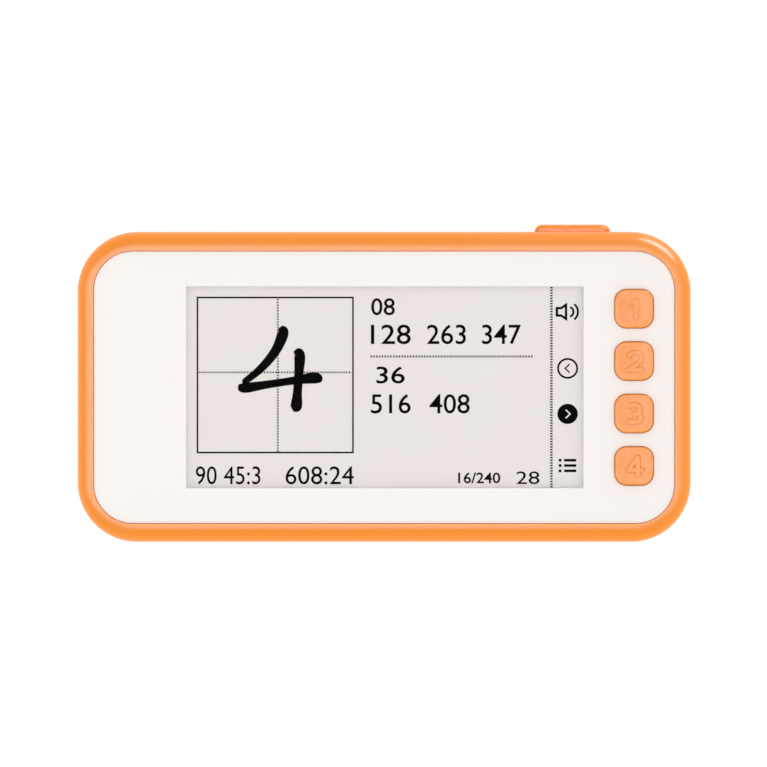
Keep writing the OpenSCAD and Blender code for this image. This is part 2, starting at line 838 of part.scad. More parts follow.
module board_passives() {
    color([0.72, 0.62, 0.48]) {
        for (i = [0 : cap_row_count - 1]) chip(cap_row_x + i * cap_step, cap_row_y, cap_size);
        for (i = [0 : cap_column_count - 1]) {
            chip(cap_column_x, cap_column_y - i * cap_step, [cap_size.y, cap_size.x, cap_size.z]);
        }
        chip(coil_x, coil_y, coil_size);
        chip(memory_x, crystal_y, crystal_size);
    }
}

// ---- Keys ----

module key_cap(i) {
    dish_r = (pow(key_dish_d / 2, 2) + pow(key_dish, 2)) / (2 * key_dish);
    color(orange) translate([key_x, key_y(i), 0]) difference() {
        union() {
            soft_slab(key_size, key_size, key_corner_r, key_flange_top_z - bond, key_top_z,
                0, key_edge_r);
            slab(key_size + 2 * key_flange_w, key_size + 2 * key_flange_w, key_flange_r,
                key_flange_z, key_flange_top_z);
        }
        translate([0, 0, key_top_z - key_dish + dish_r]) sphere(dish_r);
    }
}

module key_plunger(i) {
    color(white) translate([key_x, key_y(i), 0]) {
        rod(plunger_r, plunger_bottom_z(), key_flange_z);
        rod(plunger_rim_r, plunger_bottom_z(), plunger_bottom_z() + plunger_rim_t);
    }
}

module key_switch(i) {
    color(steel) translate([key_x, key_y(i), 0]) difference() {
        slab(tact_size, tact_size, tact_corner_r, board_front_z, tact_top_z);
        rod(tact_cavity_r, tact_floor_z(), tact_top_z - tact_lid_t);
        rod(plunger_r + run_gap, tact_floor_z(), tact_top_z + cut);
    }
}

// The sprung dome under a plunger: a thin cap of a sphere that stands on the switch's floor
module key_dome(i) {
    sphere_r = (pow(dome_r, 2) + pow(dome_h, 2)) / (2 * dome_h);
    color(steel) translate([key_x, key_y(i), tact_floor_z()]) difference() {
        translate([0, 0, dome_h - sphere_r]) sphere(sphere_r);
        translate([0, 0, dome_h - sphere_r]) sphere(sphere_r - dome_t);
        translate([-2 * sphere_r, -2 * sphere_r, -4 * sphere_r]) cube(4 * sphere_r);
    }
}

// ---- Power slider ----

module slider_knob() {
    foot_y = knob_flange_y - bond;
    pocket = lever_w + 2 * run_gap;
    color(orange) translate([knob_x, 0, knob_z]) difference() {
        union() {
            intersection() {
                translate([0, 0, -knob_w / 2]) linear_extrude(knob_w) knob_profile(foot_y);
                rotate([90, 0, 90]) translate([0, 0, -knob_len / 2]) linear_extrude(knob_len)
                    knob_section(foot_y);
                translate([0, knob_top_y + cut, 0]) rotate([90, 0, 0])
                    linear_extrude(knob_top_y - foot_y + 2 * cut)
                        rounded_outline(knob_len, knob_w, knob_corner_r);
            }
            translate([-knob_flange_len / 2, knob_flange_y - knob_flange_t, -knob_flange_w / 2])
                cube([knob_flange_len, knob_flange_t, knob_flange_w]);
        }
        translate([-pocket / 2, knob_flange_y - knob_flange_t - cut, -pocket / 2])
            cube([pocket, cut + lever_reach + run_gap - slide_body_gap, pocket]);
    }
}

// The grip seen from the front: rounded ends and finger grooves
module knob_profile(foot_y) {
    difference() {
        union() {
            translate([-knob_len / 2, foot_y]) square([knob_len, knob_top_y - knob_end_r - foot_y]);
            translate([-(knob_len / 2 - knob_end_r), knob_top_y - knob_end_r])
                square([knob_len - 2 * knob_end_r, knob_end_r]);
            for (side = [0, 1]) {
                mirror([side, 0]) translate([knob_len / 2 - knob_end_r, knob_top_y - knob_end_r])
                    quarter_disc(knob_end_r);
            }
        }
        for (i = [0 : groove_count - 1]) {
            translate([(i - (groove_count - 1) / 2) * groove_pitch, knob_top_y + groove_r - groove_depth])
                circle(groove_r);
        }
    }
}

// The grip seen from its end: both long edges rounded
module knob_section(foot_y) {
    translate([foot_y, -knob_w / 2]) square([knob_top_y - knob_edge_r - foot_y, knob_w]);
    translate([knob_top_y - knob_edge_r, -(knob_w / 2 - knob_edge_r)])
        square([knob_edge_r, knob_w - 2 * knob_edge_r]);
    for (side = [0, 1]) {
        mirror([0, side]) translate([knob_top_y - knob_edge_r, knob_w / 2 - knob_edge_r])
            quarter_disc(knob_edge_r);
    }
}

module slide_switch_lever() {
    color(dark) translate([knob_x - lever_w / 2, slide_body_y - lever_depth, knob_z - lever_w / 2])
        cube([lever_w, lever_depth + lever_reach, lever_w]);
}

module slide_switch_body() {
    slot_len = lever_w + knob_travel + 2 * run_gap;
    slot_w = lever_w + 2 * run_gap;
    color(steel) difference() {
        translate([knob_slot_x - slide_body_w / 2, slide_body_y - slide_body_d,
            board_back_z - slide_body_h])
            cube([slide_body_w, slide_body_d, slide_body_h]);
        translate([knob_slot_x - slot_len / 2, slide_body_y - lever_depth - run_gap, knob_z - slot_w / 2])
            cube([slot_len, lever_depth + run_gap + cut, slot_w]);
    }
}

// ---- Charging port ----

module port_solid(inset, y0, y1) {
    translate([port_x, y0, port_z]) rotate([-90, 0, 0]) linear_extrude(y1 - y0)
        rounded_outline(port_w - 2 * inset, port_h - 2 * inset, port_corner_r - inset);
}

module usb_shell() {
    color(steel) difference() {
        port_solid(0, port_front_y, port_front_y + port_d);
        port_solid(port_sheet, port_front_y - cut, port_front_y + port_d + cut);
    }
}

module usb_tongue() {
    back_y = port_front_y + port_d;
    color(dark) {
        port_solid(port_sheet + run_gap, port_front_y + port_plug_depth, back_y);
        translate([port_x - tongue_w / 2, port_front_y + port_recess, port_z - tongue_t / 2])
            cube([tongue_w, port_plug_depth, tongue_t]);
    }
}

module usb_contacts() {
    color(gold) for (i = [0 : contact_count - 1], side = [0, 1]) {
        translate([port_x + (i - (contact_count - 1) / 2) * contact_pitch - contact_w / 2,
            port_front_y + 2 * port_recess,
            port_z + (side == 0 ? tongue_t / 2 : -tongue_t / 2 - contact_t)])
            cube([contact_w, contact_len, contact_t]);
    }
}

// ---- Battery ----

module battery_cell() {
    color(steel) translate([battery_x, battery_y, 0]) rotate([90, 0, 90])
        translate([0, 0, -battery_w / 2]) linear_extrude(battery_w)
            translate([0, battery_z + battery_t / 2])
                rounded_outline(battery_h, battery_t, battery_edge_r);
}

module battery_tape() {
    inset = 2 * battery_edge_r;
    color(dark) translate([battery_x, battery_y, 0])
        slab(battery_w - inset, battery_h - inset, 1, floor_t, battery_z);
}

module battery_leads() {
    color("crimson") for (side = [-1, 1]) {
        start = [battery_right, socket_y + side * lead_y, 0];
        lead(concat(
            [for (p = battery_lead_route) start + p],
            [for (x = [plug_x - battery_lead_end, plug_x]) [x, start.y, plug_z]]), lead_r);
    }
}

module battery_plug() {
    color(white) translate([plug_x, socket_y - plug_h / 2, plug_z - plug_t / 2])
        cube([plug_w, plug_h, plug_t]);
}

module battery_socket() {
    height = plug_h + 2 * socket_wall;
    color(white) difference() {
        translate([socket_x, socket_y - height / 2, board_back_z - socket_t])
            cube([socket_w, height, socket_t]);
        translate([plug_x - cut, socket_y - plug_h / 2 - fit_gap, plug_z - plug_t / 2 - fit_gap])
            cube([plug_w + cut + fit_gap, plug_h + 2 * fit_gap, plug_t + 2 * fit_gap]);
    }
}

// ---- Speaker ----

module at_speaker() {
    translate([speaker_x, speaker_y, 0]) children();
}

module speaker_basket() {
    r = speaker_d / 2;
    plate_z = speaker_z + speaker_skirt_h;
    color(dark) at_speaker() {
        difference() {
            rod(r, speaker_z, plate_z + speaker_plate_t);
            rod(r - speaker_wall, speaker_z - cut, plate_z);
        }
    }
}

module speaker_cone() {
    r = speaker_d / 2 - speaker_wall - run_gap;
    rise = speaker_skirt_h * 0.6;
    thin = 0.2;
    color(foam) at_speaker() translate([0, 0, speaker_z]) rotate_extrude()
        polygon([[0, rise], [r * 0.35, rise], [r - 0.8, 0.2], [r, 0.2], [r, 0.2 + thin],
            [r - 0.7, 0.2 + thin], [r * 0.35, rise + thin], [0, rise + thin]]);
}

module speaker_magnet() {
    color(steel) at_speaker()
        rod(speaker_magnet_r, speaker_z + speaker_skirt_h + speaker_plate_t, speaker_top_z);
}

module speaker_gasket() {
    color(foam) at_speaker() difference() {
        rod(speaker_d / 2, floor_t, speaker_z);
        rod(speaker_d / 2 - speaker_gasket_w, floor_t - cut, speaker_z + cut);
    }
}

module speaker_mesh() {
    color(dark) at_speaker()
        rod(speaker_d / 2 - speaker_gasket_w - fit_gap, floor_t, floor_t + speaker_mesh_t);
}

module speaker_pad() {
    color(foam) at_speaker() rod(speaker_magnet_r - 1, speaker_top_z, board_back_z);
}

module speaker_leads() {
    start_x = speaker_x - speaker_d / 2;
    start_z = speaker_z + speaker_skirt_h / 2;
    end_z = board_back_z - speaker_lead_r - run_gap;
    color("crimson") for (side = [-1, 1]) {
        y = speaker_y + side * speaker_lead_y;
        lead(concat(
            [for (p = speaker_lead_rise) [start_x + p.x, y, start_z + p.y]],
            [for (x = speaker_lead_landing) [start_x + x, y, end_z]]), speaker_lead_r);
    }
}

// ---- Fasteners ----

module housing_screws() {
    color(steel) each_corner(boss_x, boss_y)
        screw(screw_d, screw_len, screw_head_d, screw_head_h, screw_seat_z);
}

module board_screws() {
    color(steel) each_corner(board_screw_x, board_screw_y)
        screw(board_screw_d, board_t + board_screw_grip, board_screw_head_d, board_screw_head_h,
            board_back_z);
}

// ---- Assembly ----

front_frame();
rear_cover();
face_panel();
panel_tape();
window_lens();
display_seal();
display_film();
display_glass();
display_driver();
display_flex();
flex_connector();
display_cushion();
main_board();
processor_chip();
memory_chip();
audio_chip();
board_passives();
for (i = [0 : key_count - 1]) {
    key_cap(i);
    key_plunger(i);
    key_switch(i);
    key_dome(i);
}
slider_knob();
slide_switch_lever();
slide_switch_body();
usb_shell();
usb_tongue();
usb_contacts();
battery_cell();
battery_tape();
battery_leads();
battery_plug();
battery_socket();
speaker_basket();
speaker_cone();
speaker_magnet();
speaker_gasket();
speaker_mesh();
speaker_pad();
speaker_leads();
housing_screws();
board_screws();
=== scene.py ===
import math

import bpy
import numpy as np
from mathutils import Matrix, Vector


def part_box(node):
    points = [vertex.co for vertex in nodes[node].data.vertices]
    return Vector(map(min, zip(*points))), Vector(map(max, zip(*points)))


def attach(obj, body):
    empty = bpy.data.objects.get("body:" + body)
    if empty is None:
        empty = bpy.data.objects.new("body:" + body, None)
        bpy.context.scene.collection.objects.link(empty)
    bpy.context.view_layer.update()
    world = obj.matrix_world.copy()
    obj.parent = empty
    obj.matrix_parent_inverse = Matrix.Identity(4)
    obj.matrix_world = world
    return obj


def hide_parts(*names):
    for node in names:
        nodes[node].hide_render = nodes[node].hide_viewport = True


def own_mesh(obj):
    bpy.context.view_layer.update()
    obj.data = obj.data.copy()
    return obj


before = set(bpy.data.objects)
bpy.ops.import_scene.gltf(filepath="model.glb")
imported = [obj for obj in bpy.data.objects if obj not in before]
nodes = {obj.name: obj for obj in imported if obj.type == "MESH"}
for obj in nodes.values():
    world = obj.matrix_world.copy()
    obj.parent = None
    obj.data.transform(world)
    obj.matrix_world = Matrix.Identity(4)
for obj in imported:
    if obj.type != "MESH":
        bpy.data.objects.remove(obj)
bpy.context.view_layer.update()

# Looks of a handheld electronic dictionary: an orange two-part housing with a white face,
# an e-paper screen, four dished keys and a power slider on its top edge.
# Shapes are worked out in millimetres, in the frame's own axes, and turned to metres when
# a mesh is made.

MM = 0.001


def span(node):
    """A node's lowest and highest corner, in millimetres."""
    low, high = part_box(node)
    return np.array(low) / MM, np.array(high) / MM


# ---- Meshes from arrays ----


def mesh_piece(name, points, faces, material, body, slot, sharp=35):
    """A piece from points in millimetres, smooth except at edges sharper than `sharp` degrees."""
    mesh = bpy.data.meshes.new(name)
    mesh.from_pydata((np.asarray(points) * MM).tolist(), [], [list(face) for face in faces])
    mesh.validate()
    mesh.polygons.foreach_set("use_smooth", np.ones(len(mesh.polygons), bool))
    mesh.set_sharp_from_angle(angle=math.radians(sharp))
    mesh.materials.append(material)
    piece = bpy.data.objects.new(name, mesh)
    bpy.context.scene.collection.objects.link(piece)
    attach(piece, body)
    return piece


def joined(parts):
    """Several (points, faces) as one, the faces' numbers moved on by the points before them."""
    starts = np.cumsum([0] + [len(points) for points, _ in parts[:-1]])
    faces = [[int(i + start) for i in face] for (_, group), start in zip(parts, starts) for face in group]
    return np.concatenate([points for points, _ in parts]), faces


def arc(centre, radii, start, end, count):
    """Points on an ellipse's arc: centre + radii * (cos a, sin a), a from start to end degrees."""
    a = np.radians(np.linspace(start, end, count))
    return np.stack([centre[0] + radii[0] * np.cos(a), centre[1] + radii[1] * np.sin(a)], 1)


def at_height(flat, height):
    """Flat points with a third coordinate: one height for all of them, or one for each."""
    return np.column_stack([flat, np.broadcast_to(height, len(flat))])


def rounded_ring(half_w, half_h, radius, corner_steps, side_steps):
    """A closed ring round a rounded rectangle: each corner is the arc centre + radius * (cos a, sin a),
    and each straight side is cut into equal steps, so rings of any size have the same number of points."""
    corner = arc((0, 0), (radius, radius), 0, 90, corner_steps + 1)
    reach = np.array([half_w - radius, half_h - radius])
    turns = [np.array([[c, s], [-s, c]]) for c, s in ((1, 0), (0, 1), (-1, 0), (0, -1))]
    signs = ((1, 1), (-1, 1), (-1, -1), (1, -1))
    corners = [corner @ turn + reach * sign for turn, sign in zip(turns, signs)]
    share = np.linspace(0, 1, side_steps + 1)[1:-1, None]
    sides = [
        here[-1] + share * (there[0] - here[-1])
        for here, there in zip(corners, corners[1:] + corners[:1])
    ]
    return np.concatenate([part for pair in zip(corners, sides) for part in pair])


def loft_faces(rings, count, closed=False):
    """Quads between consecutive rings of `count` points, and from the last to the first if closed."""
    ring, point = np.meshgrid(np.arange(rings - (not closed)), np.arange(count), indexing="ij")
    here, there = ring * count, (ring + 1) % rings * count
    beside = (point + 1) % count
    quads = np.stack([here + point, here + beside, there + beside, there + point], -1)
    return quads.reshape(-1, 4).tolist()


# The last ring before a pole, as a share of the ring at the face's edge
POLE_SHARE = 0.01


def capped_loft(rings):
    """A closed skin through the rings (ring, point, xyz), with a pole in the middle of each end."""
    rings = np.asarray(rings, float)
    total, count = rings.shape[:2]
    points = np.concatenate([rings.reshape(-1, 3), [rings[0].mean(0)], [rings[-1].mean(0)]])
    first, last = total * count, total * count + 1
    near = np.arange(count)
    beyond = (near + 1) % count
    offset = first - count
    start = np.stack([beyond, near, np.full(count, first)], 1)
    end = np.stack([near + offset, beyond + offset, np.full(count, last)], 1)
    return points, loft_faces(total, count) + start.tolist() + end.tolist()


def smooth_step(x):
    """0 below 0, 1 above 1 and 3x^2 - 2x^3 between."""
    x = np.clip(x, 0, 1)
    return x * x * (3 - 2 * x)


# ---- Materials ----


def linear(code):
    """An sRGB hex colour as linear red, green, blue and alpha."""
    channels = np.array([int(code[i : i + 2], 16) for i in (1, 3, 5)]) / 255
    low, high = channels / 12.92, ((channels + 0.055) / 1.055) ** 2.4
    return (*np.where(channels <= 0.04045, low, high), 1.0)


def per(size_mm):
    """How many patterns of that size fit in a metre: a texture's scale."""
    return 1 / (size_mm * MM)


def bands(pitch_mm):
    """A wave texture's scale for bands of that pitch: it draws 20 / (2 pi) bands in a unit."""
    return per(pitch_mm) * 2 * math.pi / 20


def add(tree, kind, settings=None, links=None):
    """Add a node. A setting is one of the node's own properties, or else an input socket's value."""
    node = tree.nodes.new(kind)
    for name, value in (settings or {}).items():
        if isinstance(name, str) and hasattr(node, name):
            setattr(node, name, value)
        else:
            node.inputs[name].default_value = value
    for name, source in (links or {}).items():
        tree.links.new(source, node.inputs[name])
    return node


def blank(name):
    """A new material, its tree and its object coordinates."""
    material = bpy.data.materials.new(name)
    material.use_nodes = True
    tree = material.node_tree
    tree.nodes.clear()
    return material, tree, add(tree, "ShaderNodeTexCoord").outputs["Object"]


NOISE = "ShaderNodeTexNoise"
CELLS = "ShaderNodeTexVoronoi"
WAVES = "ShaderNodeTexWave"
BRICKS = "ShaderNodeTexBrick"


# A noise texture's values lie mostly between these two, which a Map Range carries to a whole range
CLOUD_RANGE = {"From Min": 0.3, "From Max": 0.7}


def finish(
    name, tones, patch, rough, relief, depth, mark=None, centre=(0, 0, 0), stretch=(1, 1, 1), **sockets
):
    """A surface whose two tones drift in cloudy patches, and whose roughness drifts with them, over a
    relief: a texture node's kind and settings. Where the relief is high, the colour goes to `mark`."""
    material, tree, place = blank(name)
    shader = add(tree, "ShaderNodeBsdfPrincipled", {key.replace("_", " "): sockets[key] for key in sockets})
    add(tree, "ShaderNodeOutputMaterial", links={"Surface": shader.outputs[0]})
    cloud = add(tree, NOISE, {"Scale": per(patch), "Detail": 3}, {"Vector": place}).outputs[0]
    share = add(tree, "ShaderNodeMapRange", CLOUD_RANGE, {"Value": cloud}).outputs[0]
    blend = {"data_type": "RGBA", 6: linear(tones[0]), 7: linear(tones[1])}
    colour = add(tree, "ShaderNodeMix", blend, {0: share}).outputs[2]
    drift = CLOUD_RANGE | {"To Min": rough[0], "To Max": rough[1]}
    roughness = add(tree, "ShaderNodeMapRange", drift, {"Value": cloud}).outputs[0]
    middle = [-value * scale * MM for value, scale in zip(centre, stretch)]
    turned = add(tree, "ShaderNodeMapping", {"Location": middle, "Scale": stretch}, {"Vector": place})
    kind, settings = relief
    texture = add(tree, kind, settings, {"Vector": turned.outputs[0]})
    height = texture.outputs["Distance" if kind == CELLS else "Fac"]
    if mark:
        marked = {"data_type": "RGBA", 7: linear(mark)}
        colour = add(tree, "ShaderNodeMix", marked, {0: height, 6: colour}).outputs[2]
    bump = add(tree, "ShaderNodeBump", {"Distance": depth * MM}, {"Height": height}).outputs[0]
    for socket, source in (("Base Color", colour), ("Roughness", roughness), ("Normal", bump)):
        tree.links.new(source, shader.inputs[socket])
    return material


def fine_noise(size, detail=2):
    """The relief of a grain of that size, in millimetres."""
    return NOISE, {"Scale": per(size), "Detail": detail}


FINISHES = {}

# Moulded orange ABS: a satin, very even orange with a broad soft sheen. The tool's fine
# spark texture is about 0.1 mm, drawn at 0.3 mm so that it just breaks the highlights.
FINISHES["orange_abs"] = finish(
    "moulded_orange_abs", ("#FA8C0E", "#F98E12"), 9, (0.31, 0.35), fine_noise(0.3), 0.0005, IOR=1.40
)

# Moulded white ABS: warm white and satin, without visible grain.
FINISHES["white_panel"] = finish(
    "moulded_white_abs", ("#EFE9E5", "#F1EBE6"), 14, (0.40, 0.44), fine_noise(0.35), 0.0004, IOR=1.40
)

# Moulded orange key plastic: the housing's colour, a little glossier, and unevenly so from fingers.
FINISHES["orange_key"] = finish(
    "moulded_orange_keycap", ("#F98B0E", "#F78E14"), 2.5, (0.25, 0.29), fine_noise(0.25), 0.0005, IOR=1.36
)

# E-paper film: matt and slightly uneven, drifting between a warm and a pinkish off-white in
# wide soft patches, with the faint tooth of its diffusing top layer.
FINISHES["epaper_film"] = finish(
    "matt_epaper_film", ("#F8F4EF", "#FBF1EF"), 12, (0.85, 0.92), fine_noise(0.2), 0.0006,
    Specular_IOR_Level=0.08,
)

# The film's black pigment: dead matt and all but black.
BLACK_PIGMENT = finish(
    "black_epaper_pigment", ("#040303", "#060505"), 1.2, (0.85, 0.95), fine_noise(0.2), 0.0004,
    Specular_IOR_Level=0.0,
)

# Thin soda-lime glass: greenish, clear and smooth, with only the faintest ripple.
FINISHES["display_glass"] = finish(
    "thin_soda_lime_glass", ("#CFE0DA", "#D6E6E0"), 20, (0.03, 0.06), fine_noise(6), 0.001,
    Transmission_Weight=0.6, IOR=1.52,
)

# Amber polyimide film over copper tracks: a glossy orange-brown, its tracks 0.5 mm apart.
FINISHES["flex_circuit"] = finish(
    "amber_polyimide_flex", ("#C7771F", "#D08328"), 4, (0.22, 0.30),
    (WAVES, {"bands_direction": "Y", "Scale": bands(0.5)}), 0.02, mark="#8F5416", IOR=1.6,
)

# Glass-fibre board under green solder mask: glossy, with paler ridges where its tracks run.
# The tracks are 0.15 mm wide, and the rows they run in are 0.9 mm apart.
FINISHES["circuit_board"] = finish(
    "green_solder_mask", ("#0B3D22", "#0E4728"), 5, (0.25, 0.38),
    (BRICKS, {"Scale": per(1), "Mortar Size": 0.075, "Brick Width": 4.2, "Row Height": 0.9}),
    0.03, mark="#1C6B3C", IOR=1.5,
)

# Black epoxy moulding compound: matt, blasted to a fine sandy grain.
FINISHES["chip_epoxy"] = finish(
    "black_moulding_compound", ("#1A1A1C", "#202022"), 2, (0.6, 0.75), fine_noise(0.12, 4), 0.006
)

# Fired ceramic: tan, dull and slightly speckled.
FINISHES["ceramic_parts"] = finish(
    "fired_tan_ceramic", ("#A98A63", "#B89A73"), 0.5, (0.5, 0.65), fine_noise(0.1), 0.004, mark="#9C7F5B"
)

# Ivory nylon: a waxy satin with a slight glow.
FINISHES["connector_nylon"] = finish(
    "ivory_nylon", ("#E2DCCB", "#E9E3D3"), 3, (0.45, 0.55), fine_noise(0.2), 0.002, Subsurface_Weight=0.05
)

# Black glass-filled nylon: matt, with fibres that just roughen it.
FINISHES["black_nylon"] = finish(
    "black_glass_filled_nylon", ("#131315", "#1A1A1C"), 2, (0.5, 0.62), fine_noise(0.15, 4), 0.004
)

# Closed-cell foam: dull charcoal with small round cells, which are 0.15 mm and drawn at 0.3 mm.
FINISHES["black_foam_tape"] = finish(
    "closed_cell_foam", ("#1D1D1F", "#26262A"), 3, (0.9, 1.0), (CELLS, {"Scale": per(0.3)}), 0.06,
    mark="#2E2E32", Specular_IOR_Level=0.2,
)

# Tin-plated steel, rolled and stamped: soft grey lines along the strip.
FINISHES["switch_steel"] = finish(
    "stamped_tinned_steel", ("#B9B8B4", "#C6C5C1"), 1.5, (0.28, 0.40), fine_noise(0.2, 4), 0.003,
    stretch=(0.12, 1, 1), Metallic=1.0,
)

# Deep-drawn nickel-plated steel: bright, with draw lines along the port's depth.
FINISHES["port_steel"] = finish(
    "drawn_nickel_plated_steel", ("#C3C2BE", "#CFCDC8"), 2, (0.20, 0.32), fine_noise(0.12, 4), 0.002,
    stretch=(1, 0.1, 1), Metallic=1.0,
)

# Nickel-plated screw steel: bright grey, with the fine marks of cold heading.
FINISHES["screw_steel"] = finish(
    "cold_headed_nickel_plated_steel", ("#AFAEAB", "#BEBDB9"), 0.8, (0.26, 0.40),
    fine_noise(0.15, 4), 0.003, Metallic=1.0,
)

# Gold flash over nickel: warm yellow and smooth.
FINISHES["gold_plate"] = finish(
    "gold_flash", ("#D9AE56", "#E3BC68"), 0.6, (0.18, 0.28), fine_noise(0.1), 0.001, Metallic=1.0
)

# Aluminium laminate pouch: silver and satin, with the soft creases of its vacuum sealing.
FINISHES["battery_foil"] = finish(
    "aluminium_laminate_pouch", ("#BDBEC0", "#CBCCCE"), 6, (0.30, 0.45), fine_noise(3.5, 5), 0.12,
    Metallic=0.9,
)

# Red PVC lead insulation: smooth and slightly waxy.
FINISHES["lead_jacket"] = finish(
    "red_pvc_insulation", ("#A8161A", "#B51C20"), 1.5, (0.32, 0.42), fine_noise(0.3), 0.002
)

# Woven polyester dust cloth: its 0.1 mm threads are drawn at 0.4 mm so that the weave shows.
FINISHES["speaker_cloth"] = finish(
    "woven_polyester_mesh", ("#121214", "#18181B"), 4, (0.7, 0.85),
    (BRICKS, {"Scale": per(1), "Mortar Size": 0.09, "Brick Width": 0.4, "Row Height": 0.4, "offset": 0.0}),
    0.08, mark="#2C2C31",
)

# Pressed polyester membrane: dark and satin, with corrugations 0.8 mm apart round its middle.
speaker_low, speaker_high = span("speaker_cone")
FINISHES["speaker_film"] = finish(
    "pressed_polyester_membrane", ("#26262A", "#2E2E33"), 3, (0.4, 0.5),
    (WAVES, {"wave_type": "RINGS", "rings_direction": "Z", "Scale": bands(0.8)}), 0.12,
    centre=(speaker_low + speaker_high) / 2,
)


def clear_acrylic():
    """Clear acrylic with an anti-glare face: nothing of it shows from in front, and it takes a soft gloss
    at a slant, as a coated window does. The weak IOR stands for the coating."""
    material, tree, place = blank("anti_glare_acrylic")
    smear = add(tree, NOISE, {"Scale": per(9), "Detail": 2}, {"Vector": place}).outputs[0]
    drift = CLOUD_RANGE | {"To Min": 0.10, "To Max": 0.16}
    rough = add(tree, "ShaderNodeMapRange", drift, {"Value": smear}).outputs[0]
    clear = add(tree, "ShaderNodeBsdfTransparent", {"Color": (1, 1, 1, 1)}).outputs[0]
    gloss = add(tree, "ShaderNodeBsdfGlossy", {"Color": (1, 1, 1, 1)}, {"Roughness": rough}).outputs[0]
    share = add(tree, "ShaderNodeFresnel", {"IOR": 1.03}).outputs[0]
    mix = add(tree, "ShaderNodeMixShader", links={0: share, 1: clear, 2: gloss}).outputs[0]
    add(tree, "ShaderNodeOutputMaterial", links={"Surface": mix})
    return material


FINISHES["clear_window"] = clear_acrylic()


# ---- Key caps ----

KEY_LIP = 0.7
KEY_LIP_T = 0.6
KEY_CORNER = 1.8
KEY_EDGE = 0.25
KEY_DISH_DEPTH = 0.2
KEY_DISH_RADIUS = 2.5
KEY_DISH_SOFTNESS = 0.005
KEY_RING = {"corner_steps": 24, "side_steps": 40}
KEY_EDGE_STEPS = 8
KEY_TOP_STEPS = 46
# Beyond this share of the face, its height is drawn to the edge's, so that the two meet
KEY_RIM_SHARE = 0.9

# The raised digits: strokes in a box one wide and one high, their size on the key and their relief
DIGIT_SIZE = np.array([2.1, 2.65])
DIGIT_OFFSET = np.array([0.15, 0.0])
DIGIT_STROKE = 0.72
DIGIT_BEVEL = 0.14
DIGIT_RELIEF = 0.12
DIGITS = (
    [[(-0.28, 0.28), (0.08, 0.5), (0.08, -0.5)]],
    [[*arc((0, 0.18), (0.46, 0.32), 160, -38, 14), (-0.46, -0.5), (0.5, -0.5)]],
    [arc((-0.06, 0.24), (0.42, 0.26), 140, -90, 14), arc((-0.06, -0.24), (0.5, 0.26), 90, -140, 14)],
    [[(0.2, -0.5), (0.2, 0.5), (-0.5, -0.22), (0.5, -0.22)]],
)
KEY_NUMBERS = range(1, len(DIGITS) + 1)


def stroke_distance(points, strokes):
    """Distance to the nearest stroke: |p - a - t (b - a)| for each of its segments a to b, where t is
    the projection of p on the segment, held from 0 to 1."""
    starts = np.concatenate([np.asarray(stroke)[:-1] for stroke in strokes])
    along = np.concatenate([np.diff(np.asarray(stroke), axis=0) for stroke in strokes])
    from_start = points[:, None] - starts
    share = np.clip((from_start * along).sum(-1) / (along**2).sum(-1), 0, 1)
    return np.linalg.norm(from_start - share[..., None] * along, axis=-1).min(1)


def key_top(flat, strokes):
    """Height of a key's face over its edge. The dish falls by depth * (1 - (r / R)^2), made soft where it
    meets the flat by (h + sqrt(h^2 + s^2)) / 2, and the digit rises over it with a bevelled edge."""
    fall = KEY_DISH_DEPTH * (1 - (flat**2).sum(1) / KEY_DISH_RADIUS**2)
    dish = (fall + np.sqrt(fall**2 + KEY_DISH_SOFTNESS**2)) / 2
    inside = (DIGIT_STROKE / 2 - stroke_distance(flat, strokes)) / DIGIT_BEVEL + 0.5
    return DIGIT_RELIEF * smooth_step(inside) - dish


def key_cap(node, body, digit):
    """A key cap: rings go from under its lip up the lip's edge, over the shoulder, up the side, round the
    edge by a quarter circle, and then shrink to the middle of the face."""
    low, high = span(node)
    middle = (low + high)[:2] / 2
    half = (high - low)[0] / 2 - KEY_LIP
    shoulder = low[2] + KEY_LIP_T
    turn = np.radians(np.linspace(0, 90, KEY_EDGE_STEPS + 1))
    lip_corner = KEY_CORNER + KEY_LIP / 2
    outline = [
        (half + KEY_LIP, lip_corner, low[2]),
        (half + KEY_LIP, lip_corner, shoulder),
        (half, KEY_CORNER, shoulder),
    ]
    for inward, up in zip(KEY_EDGE * (1 - np.cos(turn)), KEY_EDGE * np.sin(turn)):
        outline.append((half - inward, KEY_CORNER - inward, high[2] - KEY_EDGE + up))
    rings = [at_height(rounded_ring(reach, reach, radius, **KEY_RING), z) for reach, radius, z in outline]
    face = rings[-1]
    strokes = [np.asarray(stroke) * DIGIT_SIZE + DIGIT_OFFSET for stroke in DIGITS[digit - 1]]
    edge = key_top(face[:, :2], strokes)
    for share in np.linspace(1, POLE_SHARE, KEY_TOP_STEPS)[1:]:
        ring = face * (share, share, 1)
        rim = smooth_step((share - KEY_RIM_SHARE) / (1 - KEY_RIM_SHARE))
        ring[:, 2] += key_top(ring[:, :2], strokes) - edge * rim
        rings.append(ring)
    points, faces = capped_loft(rings)
    points[:, :2] += middle
    piece = mesh_piece(node + "_moulded", points, faces, FINISHES["orange_key"], body, "orange_key")
    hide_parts(node)


for number in KEY_NUMBERS:
    key_cap(f"key_cap_{number}", f"key_{number}", number)


# ---- Sprung domes of the key switches ----

DOME_T = 0.1
DOME_STEPS = 12
DOME_SIDES = 48
# Slant of the rings nearest the poles, in radians from straight up
DOME_POLE_SLANT = 0.02


